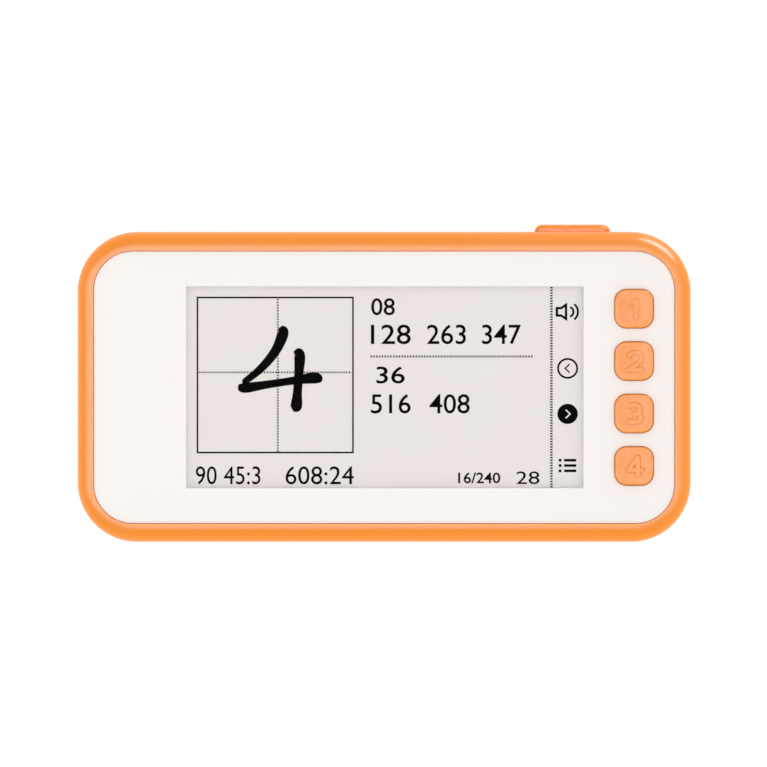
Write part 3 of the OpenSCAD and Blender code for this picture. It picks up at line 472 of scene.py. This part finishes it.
def key_dome(node):
    """A sprung dome: the cap of a sphere of radius (r^2 + h^2) / 2h with its inner face. Rings run out from
    the top inside, round the foot and back to the top outside."""
    low, high = span(node)
    middle = (low + high) / 2
    reach, height = (high - low)[0] / 2, (high - low)[2]
    outer = (reach**2 + height**2) / (2 * height)
    inner, sink = outer - DOME_T, outer - height
    slants = np.concatenate([
        np.linspace(DOME_POLE_SLANT, math.acos(sink / inner), DOME_STEPS),
        np.linspace(math.acos(sink / outer), DOME_POLE_SLANT, DOME_STEPS),
    ])
    radii = np.repeat([inner, outer], DOME_STEPS)
    turn = np.linspace(0, 2 * np.pi, DOME_SIDES, endpoint=False)
    out, up = (radii * np.sin(slants))[:, None], (radii * np.cos(slants) - sink)[:, None]
    rings = np.stack([out * np.cos(turn), out * np.sin(turn), up + 0 * turn], -1)
    points, faces = capped_loft(rings + (middle[0], middle[1], low[2]))
    piece = mesh_piece(node + "_stamped", points, faces, FINISHES["switch_steel"], "root", "switch_steel")
    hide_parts(node)
    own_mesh(piece)


for number in KEY_NUMBERS:
    key_dome(f"key_dome_{number}")


# ---- Power slider's grip ----

GRIP_LENGTH = 11.5
GRIP_WIDTH = 3.5
GRIP_CORNER = 1.6
GRIP_END_ROUND = 1.1
GRIP_EDGE_ROUND = 0.7
GROOVE_COUNT = 4
GROOVE_PITCH = 2.0
GROOVE_WIDTH = 1.5
GROOVE_DEPTH = 0.1
FLANGE_T = 0.6
FLANGE_CORNER = 0.1
LEVER_POCKET = 1.5
LEVER_POCKET_DEPTH = 1.2
LEVER_POCKET_CORNER = 0.1
GRIP_RING = {"corner_steps": 16, "side_steps": 72}
GRIP_EDGE_STEPS = 10
GRIP_FACE_SHARES = (0.75, 0.5, 0.25, POLE_SHARE)


def groove_wave(along):
    """1 in the middle of a finger groove and 0 beyond its width: cos^2 of the way from its middle."""
    middles = (np.arange(GROOVE_COUNT) - (GROOVE_COUNT - 1) / 2) * GROOVE_PITCH
    nearest = np.abs(along[:, None] - middles).min(1)
    return np.cos(np.pi * np.clip(nearest / GROOVE_WIDTH, 0, 0.5)) ** 2


def slider_grip(node, body):
    """The grip with its sliding flange and the pocket for the switch's lever. Rings run round the Y axis:
    down the pocket, out under the flange, up its edge, in to the grip, up its sides and over its face.
    The face's edge is a quarter circle swept round the outline p with its normal n:
    p - n r (1 - cos a) at r (1 - sin a) under the crest, where r goes from the long edges' round to the
    ends' with n's share along the grip."""
    low, high = span(node)
    middle = (low + high) / 2
    crest, foot = high[1], low[1]
    flange = (high - low) / 2
    pocket = LEVER_POCKET / 2
    sections = (
        (pocket, pocket, LEVER_POCKET_CORNER, foot + LEVER_POCKET_DEPTH),
        (pocket, pocket, LEVER_POCKET_CORNER, foot),
        (flange[2], flange[0], FLANGE_CORNER, foot),
        (flange[2], flange[0], FLANGE_CORNER, foot + FLANGE_T),
        (GRIP_WIDTH / 2, GRIP_LENGTH / 2, GRIP_CORNER, foot + FLANGE_T),
    )
    rings = [at_height(rounded_ring(*section[:3], **GRIP_RING), section[3]) for section in sections]
    outline = rings[-1][:, :2]
    core = np.array([GRIP_WIDTH, GRIP_LENGTH]) / 2 - GRIP_CORNER
    normal = (outline - np.clip(outline, -core, core)) / GRIP_CORNER
    edge = GRIP_EDGE_ROUND + (GRIP_END_ROUND - GRIP_EDGE_ROUND) * normal[:, 1] ** 2
    for turn in np.radians(np.linspace(0, 90, GRIP_EDGE_STEPS + 1)):
        ring = outline - normal * (edge * (1 - math.cos(turn)))[:, None]
        drop = edge * (1 - math.sin(turn)) + GROOVE_DEPTH * math.sin(turn) * groove_wave(ring[:, 1])
        rings.append(at_height(ring, crest - drop))
    face = rings[-1]
    rings += [face * (share, 1, 1) for share in GRIP_FACE_SHARES]
    points, faces = capped_loft(rings)
    points = points[:, [1, 2, 0]] + (middle[0], 0, middle[2])
    piece = mesh_piece(node + "_moulded", points, faces, FINISHES["orange_key"], body, "orange_key")
    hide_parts(node)


slider_grip("slider_knob", "slider")


# ---- Print on the screen ----
# Places are in the screen's own pixels, counted across and down from the picture's upper left corner.

SCREEN_PIXELS = np.array([296, 152])
WINDOW_FLANGE = 1.1
INK_LIFT = 0.005
INK_T = 0.02

window_low, window_high = span("window_lens")
picture_corner = np.array([window_low[0] + WINDOW_FLANGE, window_high[1] - WINDOW_FLANGE])
PIXEL = ((window_high - window_low)[:2] - 2 * WINDOW_FLANGE) / SCREEN_PIXELS
film_top = span("display_film")[1][2]


def on_screen(places):
    """Screen pixels as millimetres on the face."""
    return picture_corner + np.asarray(places, float) * PIXEL * (1, -1)


def ink_slab(columns, layer=0):
    """Flat points (place, side, xy) as a slab of ink: at each place the four corners of its section, in
    the order round it."""
    bottom = film_top + INK_LIFT + layer * INK_T
    top = bottom + INK_T
    left, right = columns[:, 0], columns[:, 1]
    corners = [at_height(*corner) for corner in ((left, top), (right, top), (right, bottom), (left, bottom))]
    return np.stack(corners, 1).reshape(-1, 3)


def band(places, width, closed=False, layer=0):
    """A band of ink along screen places. At each place the edges lie half a width along the mitre
    (n1 + n2) / (1 + n1 . n2) of the normals before and after it."""
    path = on_screen(places)
    step = np.roll(path, -1, 0) - path
    step /= np.linalg.norm(step, axis=1)[:, None]
    after = step[:, ::-1] * (-1, 1)
    before = np.roll(after, 1, 0)
    if not closed:
        after[-1], before[0] = before[-1], after[0]
    mitre = (before + after) / (1 + (before * after).sum(1))[:, None]
    reach = mitre * np.broadcast_to(width, len(path))[:, None] * PIXEL.mean() / 2
    points = ink_slab(np.stack([path + reach, path - reach], 1), layer)
    faces = loft_faces(len(path), 4, closed)
    if not closed:
        last = len(points) - 4
        faces += [[3, 2, 1, 0], [last, last + 1, last + 2, last + 3]]
    return points, faces


def dots(places, across, down):
    """Small oblong dots of ink, a slab at each place, `across` wide and `down` high in screen pixels."""
    places = np.asarray(places, float)
    half = np.array([across / 2, 0])
    ends = np.stack([on_screen(places - half), on_screen(places + half)], 1)
    up = np.array([0, PIXEL.mean() * down / 2])
    points = ink_slab(np.stack([ends + up, ends - up], 2).reshape(-1, 2, 2))
    box = np.array(loft_faces(2, 4) + [[3, 2, 1, 0], [4, 5, 6, 7]])
    faces = box + 8 * np.arange(len(places))[:, None, None]
    return points, faces.reshape(-1, 4).tolist()


def disc(centre, radius, count=48):
    """A round spot of ink: a slab under a ring of points, centre + radius * (cos a, sin a)."""
    ring = on_screen(arc(centre, (radius, radius), 0, -360, count + 1)[:-1])
    bottom = film_top + INK_LIFT
    return capped_loft([at_height(ring, z) for z in (bottom, bottom + INK_T)])


# The least way from a brush stroke's end, in half widths, so that its tip keeps a little width
BLUNT_TIP = 0.001


def brush_stroke(marks, count=70):
    """A brush stroke through marks of (across, down, width). Between marks b and c, with a and d beyond
    them, it follows b + (c - a) t/2 + (2a - 5b + 4c - d) t^2/2 + (3b - a - 3c + d) t^3/2, and its width
    is drawn in to a round end by sqrt(1 - (1 - s)^2), with s the way from the end in half widths."""
    marks = np.asarray(marks, float)
    marks = np.concatenate([[2 * marks[0] - marks[1]], marks, [2 * marks[-1] - marks[-2]]])
    last = len(marks) - 3
    way = last * (1 - np.cos(np.linspace(0, np.pi, count))) / 2
    here = np.minimum(way.astype(int), last - 1)
    t = (way - here)[:, None]
    a, b, c, d = (marks[here + step] for step in range(4))
    line = b + (c - a) * t / 2 + (2 * a - 5 * b + 4 * c - d) * t**2 / 2 + (3 * b - a - 3 * c + d) * t**3 / 2
    lengths = np.linalg.norm(np.diff(line[:, :2], axis=0), axis=1)
    travelled = np.concatenate([[0], np.cumsum(lengths)])
    left = np.minimum(travelled, travelled[-1] - travelled) / (line[:, 2] / 2)
    rounding = np.sqrt(1 - (1 - np.clip(left, BLUNT_TIP, 1)) ** 2)
    return band(line[:, :2], line[:, 2] * rounding)


NUMBER_CURVE_STEPS = 4
# Any depth does, because every coordinate is carried to the slab's own range
NUMBER_DEPTH = 0.5


def numbers(text, left, right, top, bottom, weight):
    """Plain numbers as a slab of ink that fills a box on the screen: each coordinate of the digits'
    mesh is carried from its own range to the box's. `weight` thickens their strokes."""
    curve = bpy.data.curves.new("numbers", "FONT")
    curve.body = text
    curve.resolution_u = NUMBER_CURVE_STEPS
    curve.offset = weight
    curve.extrude = NUMBER_DEPTH
    holder = bpy.data.objects.new("numbers", curve)
    mesh = bpy.data.meshes.new_from_object(holder)
    points = np.empty(3 * len(mesh.vertices))
    mesh.vertices.foreach_get("co", points)
    points = points.reshape(-1, 3)
    points = (points - points.min(0)) / np.ptp(points, axis=0)
    flat = on_screen([left, bottom] + points[:, :2] * (right - left, top - bottom))
    heights = film_top + INK_LIFT + points[:, 2] * INK_T
    return at_height(flat, heights), [list(polygon.vertices) for polygon in mesh.polygons]


def number_rows(rows):
    """Rows of plain numbers, each a row's top, bottom and weight, and its numbers' left and right edges."""
    return [
        numbers(text, left, right, top, bottom, weight)
        for top, bottom, weight, row in rows
        for text, (left, right) in row.items()
    ]


def printed(name, parts, material=BLACK_PIGMENT):
    """Marks on the film as one piece."""
    mesh_piece(name, *joined(parts), material, "root", "epaper_film")


# The practice square: an outlined box with a dotted cross
SQUARE_LEFT, SQUARE_RIGHT = 8.3, 124.2
SQUARE_TOP, SQUARE_BOTTOM = 8.4, 125.2
SQUARE_LINE = 1.15
CROSS_X, CROSS_Y = 68.2, 64.8
CROSS_PITCH = 2.11
CROSS_DOT, CROSS_DOT_WIDTH = 1.0, 1.3
CROSS_START, CROSS_END = 1.6, 0.8
corners = [
    (SQUARE_LEFT, SQUARE_TOP), (SQUARE_RIGHT, SQUARE_TOP),
    (SQUARE_RIGHT, SQUARE_BOTTOM), (SQUARE_LEFT, SQUARE_BOTTOM),
]
down = np.arange(SQUARE_TOP + CROSS_START, SQUARE_BOTTOM - CROSS_END, CROSS_PITCH)
over = np.arange(SQUARE_LEFT + CROSS_START, SQUARE_RIGHT - CROSS_END, CROSS_PITCH)
printed("practice_square", [
    band(corners, SQUARE_LINE, closed=True),
    dots([(CROSS_X, y) for y in down], CROSS_DOT_WIDTH, CROSS_DOT),
    dots([(x, CROSS_Y) for x in over], CROSS_DOT, CROSS_DOT_WIDTH),
])

# The numeral to practise, in three brush strokes: each mark is its place and the brush's width there
NUMERAL_STROKES = (
    [(69.0, 31.5, 5.0), (72.0, 35.0, 8.4), (66.5, 48.5, 7.2), (55.5, 62.0, 6.0), (42.0, 73.0, 4.6)],
    [
        (38.6, 74.8, 5.0), (44.0, 76.4, 7.6), (60.0, 74.0, 6.0),
        (80.0, 71.0, 6.0), (95.0, 69.0, 8.4), (101.5, 70.6, 5.6),
    ],
    [
        (80.5, 48.5, 5.0), (84.4, 52.0, 8.2), (83.8, 66.0, 6.8),
        (82.8, 80.0, 6.8), (82.0, 90.0, 8.6), (80.8, 94.6, 5.4),
    ],
)
printed("practice_numeral", [brush_stroke(marks) for marks in NUMERAL_STROKES])

# Rows of plain numbers beside the square, and along the lower edge
WORD_ROWS = (
    (8.9, 21.8, 0.006, {"08": (137.8, 155.4)}),
    (28.8, 43.6, 0.004, {"128": (137.6, 167.2), "263": (179.4, 208.4), "347": (220.4, 249.4)}),
    (60.4, 73.2, 0.006, {"36": (141.6, 162.8)}),
    (81.2, 95.8, 0.004, {"516": (137.6, 167.2), "408": (181.2, 211.2)}),
)
PAGE_ROWS = (
    (135.6, 149.2, 0.0, {"90 45:3": (7.0, 55.2), "608:24": (74.0, 124.8)}),
    (140.2, 148.4, 0.012, {"16/240": (202.6, 234.0)}),
    (139.4, 149.0, 0.0, {"28": (246.0, 263.2)}),
)
printed("word_numbers", number_rows(WORD_ROWS))
printed("page_numbers", number_rows(PAGE_ROWS))

# The menu column's dotted edge and the dotted line between the two words
COLUMN_X, COLUMN_TOP, COLUMN_BOTTOM, COLUMN_PITCH = 272.1, 1, 152, 2.0
DIVIDER_Y, DIVIDER_LEFT, DIVIDER_RIGHT, DIVIDER_PITCH = 52.8, 137.8, 259, 2.1
column = [(COLUMN_X, y) for y in np.arange(COLUMN_TOP, COLUMN_BOTTOM, COLUMN_PITCH)]
divider = [(x, DIVIDER_Y) for x in np.arange(DIVIDER_LEFT, DIVIDER_RIGHT, DIVIDER_PITCH)]
printed("dotted_lines", [dots(column, 1.9, 1.0), dots(divider, 1.05, 1.5)])

# Generic symbols: a speaker with two sound waves, a step back, a step on and a list
SYMBOL_X = 284.2
BACK_Y, ON_Y = 61.8, 96.1
SPEAKER = ((276.2, 16.4), (279.4, 16.4), (283.0, 13.9), (283.0, 24.5), (279.4, 22.0), (276.2, 22.0))
SOUND_CENTRE = (284.6, 19.2)
RING_RADIUS, SPOT_RADIUS = 7.1, 7.6
ARROW_HALF_HEIGHT, ARROW_BACK, ARROW_TIP = 3.2, 1.5, 1.9
LIST_ROWS = (131.0, 135.0, 139.0)
LIST_DOT_X, LIST_LEFT, LIST_RIGHT = 278.6, 281.6, 290.6


def sound_wave(radius, spread, count):
    """A wave of sound: an arc that opens by `spread` degrees above and below."""
    return band(arc(SOUND_CENTRE, (radius, radius), -spread, spread, count), 1.5)


def arrow_head(y, side, width, layer=0):
    """An open arrow head, which points left where `side` is 1 and right where it is -1."""
    back, tip = SYMBOL_X + side * ARROW_BACK, SYMBOL_X - side * ARROW_TIP
    return band([(back, y - ARROW_HALF_HEIGHT), (tip, y), (back, y + ARROW_HALF_HEIGHT)], width, layer=layer)


printed("menu_symbols", [
    band(SPEAKER, 1.75, closed=True),
    sound_wave(3.9, 68, 15),
    sound_wave(7.3, 52, 19),
    band(arc((SYMBOL_X, BACK_Y), (RING_RADIUS, RING_RADIUS), 0, 360, 61)[:-1], 1.4, closed=True),
    arrow_head(BACK_Y, 1, 1.0),
    disc((SYMBOL_X, ON_Y), SPOT_RADIUS),
    dots([(LIST_DOT_X, y) for y in LIST_ROWS], 2.0, 2.0),
    *[band([(LIST_LEFT, y), (LIST_RIGHT, y)], 1.9) for y in LIST_ROWS],
])
printed("menu_symbol_arrow", [arrow_head(ON_Y, -1, 0.9, layer=1)], FINISHES["epaper_film"])


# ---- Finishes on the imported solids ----

for node in nodes.values():
    node.data.materials[0] = FINISHES[node.data.materials[0].name]


# ---- Camera, lights and floor ----

PHOTO_SIDE = 767
PHOTO_MM_PER_PIXEL = 0.1516
BODY_CENTRE_PIXEL = (384.15, 387.35)
LENS_MM = 800
SENSOR_MM = 36
TILT_DEGREES = 1.0
CLIP_START_M = 0.05


def aim_camera():
    """A long lens straight in front of the face, leaning a degree towards the top edge.
    Its distance makes the frame as wide as the photograph's, and it looks past the body's middle
    by as much as the body's middle lies off the frame's."""
    frame_width = PHOTO_SIDE * PHOTO_MM_PER_PIXEL * MM
    distance = frame_width * LENS_MM / SENSOR_MM
    face_z = span("front_frame")[1][2] * MM
    off = (PHOTO_SIDE / 2 - np.array(BODY_CENTRE_PIXEL)) * PHOTO_MM_PER_PIXEL * MM
    target = Vector((off[0], -off[1], face_z))
    tilt = math.radians(TILT_DEGREES)
    data = bpy.data.cameras.new("camera")
    data.lens = LENS_MM
    data.sensor_width = SENSOR_MM
    data.clip_start = CLIP_START_M
    camera = bpy.data.objects.new("camera", data)
    camera.location = target + distance * Vector((0, math.sin(tilt), math.cos(tilt)))
    camera.rotation_euler = (-tilt, 0, 0)
    bpy.context.scene.collection.objects.link(camera)
    bpy.context.scene.camera = camera


def sheen_lamp(name, place, facing, size, radiance):
    """A rectangular lamp at `place` in metres, which sends its light against the direction `facing`.
    Its power is radiance * pi * area. It only adds to gloss: the diffuse light comes from the world."""
    data = bpy.data.lights.new(name, "AREA")
    data.shape = "RECTANGLE"
    data.size, data.size_y = size
    data.energy = radiance * math.pi * size[0] * size[1]
    lamp = bpy.data.objects.new(name, data)
    lamp.location = place
    lamp.rotation_mode = "QUATERNION"
    lamp.rotation_quaternion = Vector(facing).to_track_quat("Z", "Y")
    lamp.visible_camera = False
    lamp.visible_diffuse = False
    # Without this, rays that gloss sends out would carry the lamp's light to the diffuse colour too
    data.cycles.use_multiple_importance_sampling = False
    bpy.context.scene.collection.objects.link(lamp)


def white_rays(tree):
    """1 on the rays that see the white surroundings: from the camera, or off gloss, or through glass."""
    path = add(tree, "ShaderNodeLightPath")
    total = path.outputs["Is Camera Ray"]
    for name in ("Is Glossy Ray", "Is Transmission Ray"):
        both = {0: total, 1: path.outputs[name]}
        total = add(tree, "ShaderNodeMath", {"operation": "MAXIMUM"}, both).outputs[0]
    return total


ZENITH, HORIZON, NADIR = 0.58, 1.5, 0.9
DIM_DIRECTION = (-0.15, 0.08, 0.985)


def make_world():
    """A studio that looks white, and lights the object more from its sides than from above. Its level
    goes from the zenith's, in the dim direction, to the horizon's and on to the nadir's."""
    world = bpy.data.worlds.new("studio")
    bpy.context.scene.world = world
    world.use_nodes = True
    tree = world.node_tree
    tree.nodes.clear()
    direction = add(tree, "ShaderNodeTexCoord").outputs["Generated"]
    height = add(
        tree, "ShaderNodeVectorMath", {"operation": "DOT_PRODUCT", 1: DIM_DIRECTION}, {0: direction}
    ).outputs["Value"]
    upward = {"From Min": 0.0, "From Max": 1.0, "To Min": HORIZON, "To Max": ZENITH}
    downward = {"From Min": -1.0, "From Max": 0.0, "To Min": NADIR, "To Max": HORIZON}
    above, below = (
        add(tree, "ShaderNodeMapRange", settings, {"Value": height}).outputs[0]
        for settings in (upward, downward)
    )
    top = add(tree, "ShaderNodeMath", {"operation": "GREATER_THAN", 1: 0.0}, {0: height}).outputs[0]
    level = add(tree, "ShaderNodeMix", {"data_type": "FLOAT"}, {0: top, 2: below, 3: above}).outputs[0]
    strength = add(
        tree, "ShaderNodeMix", {"data_type": "FLOAT", 3: 1.0}, {0: white_rays(tree), 2: level}
    ).outputs[0]
    background = add(tree, "ShaderNodeBackground", {"Color": (1, 1, 1, 1)}, {"Strength": strength})
    add(tree, "ShaderNodeOutputWorld", links={"Surface": background.outputs[0]})


FLOOR_HALF = 1500
FLOOR_DROP = 0.05
FLOOR_PAINT = "#5A5A5A"
FLOOR_GLOW = 0.94


def make_floor():
    """A white floor just under the object. Only the rays of white_rays meet it, from above: to them it is
    a pale surface, part paint and part glow, that keeps the object's soft shadow."""
    square = np.array([(-1, -1), (1, -1), (1, 1), (-1, 1)]) * FLOOR_HALF
    mesh = bpy.data.meshes.new("floor")
    mesh.from_pydata((at_height(square, -FLOOR_DROP) * MM).tolist(), [], [(0, 1, 2, 3)])
    floor = bpy.data.objects.new("floor", mesh)
    bpy.context.scene.collection.objects.link(floor)
    material = bpy.data.materials.new("studio_floor")
    material.use_nodes = True
    mesh.materials.append(material)
    tree = material.node_tree
    tree.nodes.clear()
    paint = add(tree, "ShaderNodeBsdfDiffuse", {"Color": linear(FLOOR_PAINT)}).outputs[0]
    glow = add(tree, "ShaderNodeEmission", {"Strength": FLOOR_GLOW}).outputs[0]
    pale = add(tree, "ShaderNodeAddShader", links={0: paint, 1: glow}).outputs[0]
    back = add(tree, "ShaderNodeNewGeometry").outputs["Backfacing"]
    seen = add(
        tree, "ShaderNodeMath", {"operation": "SUBTRACT", "use_clamp": True},
        {0: white_rays(tree), 1: back},
    ).outputs[0]
    clear = add(tree, "ShaderNodeBsdfTransparent").outputs[0]
    mix = add(tree, "ShaderNodeMixShader", links={0: seen, 1: clear, 2: pale}).outputs[0]
    add(tree, "ShaderNodeOutputMaterial", links={"Surface": mix})


# A wide card over the face lays the broad pale sheen on what faces up. Its left part is the brighter,
# so that the dishes of the keys show. Each part has its left edge, right edge and radiance.
CARD_Y, CARD_HEIGHT, CARD_DEPTH = 0.03, 0.5, 0.80
CARD_PARTS = {"left_card": (-1.23, 0.045, 7.6), "right_card": (0.045, 0.93, 5.5)}

# A small lamp low at the upper right draws the highlights on the corner, the knob and the keys
HIGHLIGHT_PLACE = (0.205, 0.295, 0.02)
HIGHLIGHT_SIZE = (0.22, 0.07)
HIGHLIGHT_RADIANCE = 38

aim_camera()
make_world()
make_floor()
for name, (left, right, radiance) in CARD_PARTS.items():
    place = ((left + right) / 2, CARD_Y, CARD_HEIGHT)
    sheen_lamp(name, place, (0, 0, 1), (right - left, CARD_DEPTH), radiance)
sheen_lamp("highlight_lamp", HIGHLIGHT_PLACE, HIGHLIGHT_PLACE, HIGHLIGHT_SIZE, HIGHLIGHT_RADIANCE)

bpy.context.scene.view_settings.view_transform = "Standard"
